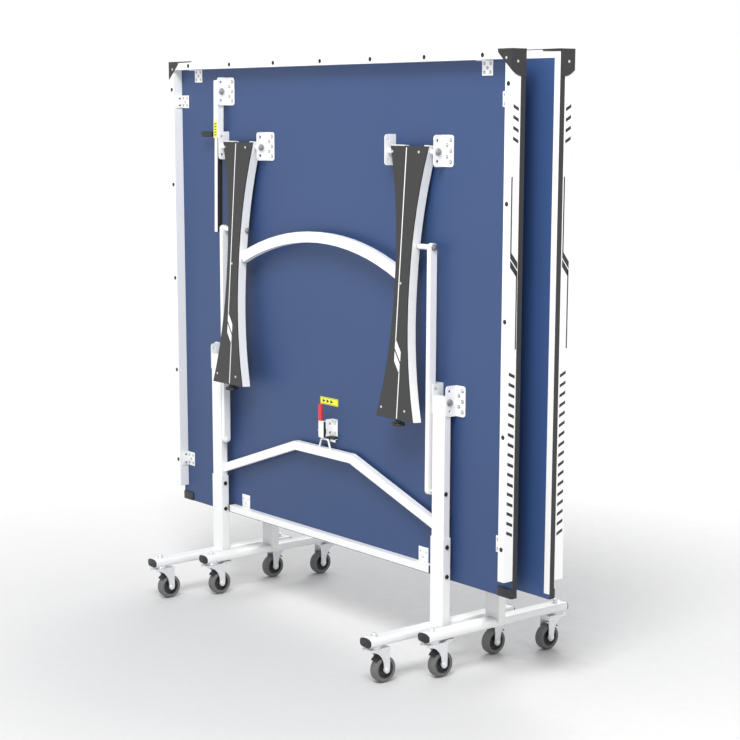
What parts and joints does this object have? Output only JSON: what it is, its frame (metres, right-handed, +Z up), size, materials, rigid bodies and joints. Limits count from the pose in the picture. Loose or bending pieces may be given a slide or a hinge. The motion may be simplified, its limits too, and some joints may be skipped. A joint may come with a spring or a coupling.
{
  "type": "folding table tennis table",
  "caption": "Folding wheeled table tennis table in two halves, stored upright and nested face to face; tops, legs, links, stays, latches and casters move.",
  "frame": {"origin": "on the floor, under the middle of the nested pair", "axes": "+X along the tops, +Y from the front half towards the rear half, +Z up"},
  "size_m": [1.585, 0.649, 1.606],
  "materials": {
    "playing_board": "satin painted board",
    "white_steel": "powder coat",
    "grey_cover": "satin",
    "black_plastic": "satin",
    "zinc_plate": "zinc plated",
    "grey_rubber": "matt",
    "red_grip": "gloss"
  },
  "bodies": {
    "front_carriage": {"front_carriage_frame": "white_steel", "front_foot_rail_left": "white_steel", "front_foot_rail_right": "white_steel"},
    "front_top": {"front_tabletop": "playing_board", "front_apron_frame": "white_steel", "front_net_bar": "white_steel", "front_stay_bracket": "white_steel", "front_top_hinge_left": "white_steel", "front_top_hinge_right": "white_steel", "front_leg_hinge_left": "white_steel", "front_leg_hinge_right": "white_steel"},
    "front_legs": {"front_leg_frame": "white_steel", "front_leg_cover_left": "grey_cover", "front_leg_cover_right": "grey_cover"},
    "front_link_left": {"front_link_left": "white_steel"},
    "front_link_right": {"front_link_right": "white_steel"},
    "front_stay_sleeve": {"front_stay_tube": "white_steel"},
    "front_stay_rod": {"front_stay_bar": "white_steel"},
    "front_stay_lock": {"front_stay_lock_pin": "black_plastic"},
    "front_latch": {"front_latch_handle": "red_grip"},
    "front_level_left": {"front_levelling_foot_left": "black_plastic"},
    "front_caster_left_outer": {"front_caster_fork_left_outer": "zinc_plate"},
    "front_wheel_left_outer": {"front_caster_wheel_left_outer": "grey_rubber"},
    "front_caster_left_inner": {"front_caster_fork_left_inner": "zinc_plate"},
    "front_wheel_left_inner": {"front_caster_wheel_left_inner": "grey_rubber"},
    "front_level_right": {"front_levelling_foot_right": "black_plastic"},
    "front_caster_right_outer": {"front_caster_fork_right_outer": "zinc_plate"},
    "front_wheel_right_outer": {"front_caster_wheel_right_outer": "grey_rubber"},
    "front_caster_right_inner": {"front_caster_fork_right_inner": "zinc_plate"},
    "front_wheel_right_inner": {"front_caster_wheel_right_inner": "grey_rubber"},
    "rear_carriage": {"rear_carriage_frame": "white_steel", "rear_foot_rail_left": "white_steel", "rear_foot_rail_right": "white_steel"},
    "rear_top": {"rear_tabletop": "playing_board", "rear_apron_frame": "white_steel", "rear_net_bar": "white_steel", "rear_stay_bracket": "white_steel", "rear_top_hinge_left": "white_steel", "rear_top_hinge_right": "white_steel", "rear_leg_hinge_left": "white_steel", "rear_leg_hinge_right": "white_steel"},
    "rear_legs": {"rear_leg_frame": "white_steel", "rear_leg_cover_left": "grey_cover", "rear_leg_cover_right": "grey_cover"},
    "rear_link_left": {"rear_link_left": "white_steel"},
    "rear_link_right": {"rear_link_right": "white_steel"},
    "rear_stay_sleeve": {"rear_stay_tube": "white_steel"},
    "rear_stay_rod": {"rear_stay_bar": "white_steel"},
    "rear_stay_lock": {"rear_stay_lock_pin": "black_plastic"},
    "rear_latch": {"rear_latch_handle": "red_grip"},
    "rear_level_left": {"rear_levelling_foot_left": "black_plastic"},
    "rear_caster_left_outer": {"rear_caster_fork_left_outer": "zinc_plate"},
    "rear_wheel_left_outer": {"rear_caster_wheel_left_outer": "grey_rubber"},
    "rear_caster_left_inner": {"rear_caster_fork_left_inner": "zinc_plate"},
    "rear_wheel_left_inner": {"rear_caster_wheel_left_inner": "grey_rubber"},
    "rear_level_right": {"rear_levelling_foot_right": "black_plastic"},
    "rear_caster_right_outer": {"rear_caster_fork_right_outer": "zinc_plate"},
    "rear_wheel_right_outer": {"rear_caster_wheel_right_outer": "grey_rubber"},
    "rear_caster_right_inner": {"rear_caster_fork_right_inner": "zinc_plate"},
    "rear_wheel_right_inner": {"rear_caster_wheel_right_inner": "grey_rubber"}
  },
  "joints": [
    {"name": "front_top_fold", "type": "hinge", "parent": "front_carriage", "child": "front_top", "pos_m": [-0.03, -0.0705, 0.718], "axis": [1, 0, 0], "range_deg": [0, 90]},
    {"name": "front_legs_swing", "type": "hinge", "parent": "front_top", "child": "front_legs", "pos_m": [-0.03, -0.0685, 1.3565], "axis": [1, 0, 0], "range_deg": [-90.01, 0]},
    {"name": "front_link_left_swing", "type": "hinge", "parent": "front_carriage", "child": "front_link_left", "pos_m": [-0.5055, -0.077, 0.476], "axis": [1, 0, 0], "range_deg": [0, 90.01]},
    {"name": "front_link_right_swing", "type": "hinge", "parent": "front_carriage", "child": "front_link_right", "pos_m": [0.4455, -0.077, 0.476], "axis": [1, 0, 0], "range_deg": [0, 90.01]},
    {"name": "front_stay_swing", "type": "hinge", "parent": "front_top", "child": "front_stay_sleeve", "pos_m": [-0.5345, -0.0685, 1.517], "axis": [1, 0, 0], "range_deg": [-56.62, 0]},
    {"name": "front_stay_slide", "type": "slide", "parent": "front_stay_sleeve", "child": "front_stay_rod", "axis": [0, 0.0161, 0.9999], "range_m": [0, 0.11581]},
    {"name": "front_stay_lock_pull", "type": "slide", "parent": "front_stay_sleeve", "child": "front_stay_lock", "axis": [-1, 0, 0], "range_m": [0, 0.008], "stiffness_N_per_m": 300},
    {"name": "front_latch_lift", "type": "hinge", "parent": "front_top", "child": "front_latch", "pos_m": [-0.033, -0.0737, 0.568], "axis": [1, 0, 0], "range_deg": [0, 35], "stiffness_Nm_per_rad": 0.5},
    {"name": "front_foot_left_screw_out", "type": "slide", "parent": "front_legs", "child": "front_level_left", "axis": [0, 0, -1], "range_m": [0, 0.01]},
    {"name": "front_caster_left_outer_swivel", "type": "hinge", "parent": "front_carriage", "child": "front_caster_left_outer", "pos_m": [-0.546, -0.2965, 0.05], "axis": [0, 0, 1], "continuous": true},
    {"name": "front_wheel_left_outer_spin", "type": "hinge", "parent": "front_caster_left_outer", "child": "front_wheel_left_outer", "pos_m": [-0.546, -0.2675, 0.035], "axis": [1, 0, 0], "continuous": true},
    {"name": "front_caster_left_inner_swivel", "type": "hinge", "parent": "front_carriage", "child": "front_caster_left_inner", "pos_m": [-0.546, 0.1515, 0.05], "axis": [0, 0, 1], "continuous": true},
    {"name": "front_wheel_left_inner_spin", "type": "hinge", "parent": "front_caster_left_inner", "child": "front_wheel_left_inner", "pos_m": [-0.546, 0.1225, 0.035], "axis": [1, 0, 0], "continuous": true},
    {"name": "front_foot_right_screw_out", "type": "slide", "parent": "front_legs", "child": "front_level_right", "axis": [0, 0, -1], "range_m": [0, 0.01]},
    {"name": "front_caster_right_outer_swivel", "type": "hinge", "parent": "front_carriage", "child": "front_caster_right_outer", "pos_m": [0.486, -0.2965, 0.05], "axis": [0, 0, 1], "continuous": true},
    {"name": "front_wheel_right_outer_spin", "type": "hinge", "parent": "front_caster_right_outer", "child": "front_wheel_right_outer", "pos_m": [0.486, -0.2675, 0.035], "axis": [1, 0, 0], "continuous": true},
    {"name": "front_caster_right_inner_swivel", "type": "hinge", "parent": "front_carriage", "child": "front_caster_right_inner", "pos_m": [0.486, 0.1515, 0.05], "axis": [0, 0, 1], "continuous": true},
    {"name": "front_wheel_right_inner_spin", "type": "hinge", "parent": "front_caster_right_inner", "child": "front_wheel_right_inner", "pos_m": [0.486, 0.1225, 0.035], "axis": [1, 0, 0], "continuous": true},
    {"name": "rear_roll", "type": "slide", "parent": "front_carriage", "child": "rear_carriage", "axis": [0, 1, 0], "range_m": [0, 1.2735]},
    {"name": "rear_top_fold", "type": "hinge", "parent": "rear_carriage", "child": "rear_top", "pos_m": [0.03, 0.0705, 0.718], "axis": [-1, 0, 0], "range_deg": [0, 90]},
    {"name": "rear_legs_swing", "type": "hinge", "parent": "rear_top", "child": "rear_legs", "pos_m": [0.03, 0.0685, 1.3565], "axis": [-1, 0, 0], "range_deg": [-90.01, 0]},
    {"name": "rear_link_left_swing", "type": "hinge", "parent": "rear_carriage", "child": "rear_link_left", "pos_m": [0.5055, 0.077, 0.476], "axis": [-1, 0, 0], "range_deg": [0, 90.01]},
    {"name": "rear_link_right_swing", "type": "hinge", "parent": "rear_carriage", "child": "rear_link_right", "pos_m": [-0.4455, 0.077, 0.476], "axis": [-1, 0, 0], "range_deg": [0, 90.01]},
    {"name": "rear_stay_swing", "type": "hinge", "parent": "rear_top", "child": "rear_stay_sleeve", "pos_m": [0.5345, 0.0685, 1.517], "axis": [-1, 0, 0], "range_deg": [-56.62, 0]},
    {"name": "rear_stay_slide", "type": "slide", "parent": "rear_stay_sleeve", "child": "rear_stay_rod", "axis": [0, -0.0161, 0.9999], "range_m": [0, 0.11581]},
    {"name": "rear_stay_lock_pull", "type": "slide", "parent": "rear_stay_sleeve", "child": "rear_stay_lock", "axis": [1, 0, 0], "range_m": [0, 0.008], "stiffness_N_per_m": 300},
    {"name": "rear_latch_lift", "type": "hinge", "parent": "rear_top", "child": "rear_latch", "pos_m": [0.033, 0.0737, 0.568], "axis": [-1, 0, 0], "range_deg": [0, 35], "stiffness_Nm_per_rad": 0.5},
    {"name": "rear_foot_left_screw_out", "type": "slide", "parent": "rear_legs", "child": "rear_level_left", "axis": [0, 0, -1], "range_m": [0, 0.01]},
    {"name": "rear_caster_left_outer_swivel", "type": "hinge", "parent": "rear_carriage", "child": "rear_caster_left_outer", "pos_m": [0.546, 0.2965, 0.05], "axis": [0, 0, 1], "continuous": true},
    {"name": "rear_wheel_left_outer_spin", "type": "hinge", "parent": "rear_caster_left_outer", "child": "rear_wheel_left_outer", "pos_m": [0.546, 0.2675, 0.035], "axis": [-1, 0, 0], "continuous": true},
    {"name": "rear_caster_left_inner_swivel", "type": "hinge", "parent": "rear_carriage", "child": "rear_caster_left_inner", "pos_m": [0.546, -0.1515, 0.05], "axis": [0, 0, 1], "continuous": true},
    {"name": "rear_wheel_left_inner_spin", "type": "hinge", "parent": "rear_caster_left_inner", "child": "rear_wheel_left_inner", "pos_m": [0.546, -0.1225, 0.035], "axis": [-1, 0, 0], "continuous": true},
    {"name": "rear_foot_right_screw_out", "type": "slide", "parent": "rear_legs", "child": "rear_level_right", "axis": [0, 0, -1], "range_m": [0, 0.01]},
    {"name": "rear_caster_right_outer_swivel", "type": "hinge", "parent": "rear_carriage", "child": "rear_caster_right_outer", "pos_m": [-0.486, 0.2965, 0.05], "axis": [0, 0, 1], "continuous": true},
    {"name": "rear_wheel_right_outer_spin", "type": "hinge", "parent": "rear_caster_right_outer", "child": "rear_wheel_right_outer", "pos_m": [-0.486, 0.2675, 0.035], "axis": [-1, 0, 0], "continuous": true},
    {"name": "rear_caster_right_inner_swivel", "type": "hinge", "parent": "rear_carriage", "child": "rear_caster_right_inner", "pos_m": [-0.486, -0.1515, 0.05], "axis": [0, 0, 1], "continuous": true},
    {"name": "rear_wheel_right_inner_spin", "type": "hinge", "parent": "rear_caster_right_inner", "child": "rear_wheel_right_inner", "pos_m": [-0.486, -0.1225, 0.035], "axis": [-1, 0, 0], "continuous": true}
  ],
  "couplings": [
    {"joint": "front_legs_swing", "follows": "front_top_fold", "ratio": -1},
    {"joint": "front_link_left_swing", "follows": "front_top_fold", "ratio": 1},
    {"joint": "front_link_right_swing", "follows": "front_top_fold", "ratio": 1},
    {"joint": "front_stay_swing", "follows": "front_top_fold", "ratio": -0.62893},
    {"joint": "front_stay_slide", "follows": "front_top_fold", "m_per_rad": 0.073662},
    {"joint": "rear_roll", "follows": "front_top_fold", "m_per_rad": 0.81},
    {"joint": "rear_top_fold", "follows": "front_top_fold", "ratio": 1},
    {"joint": "rear_legs_swing", "follows": "front_top_fold", "ratio": -1},
    {"joint": "rear_link_left_swing", "follows": "front_top_fold", "ratio": 1},
    {"joint": "rear_link_right_swing", "follows": "front_top_fold", "ratio": 1},
    {"joint": "rear_stay_swing", "follows": "front_top_fold", "ratio": -0.62893},
    {"joint": "rear_stay_slide", "follows": "front_top_fold", "m_per_rad": 0.073662}
  ]
}
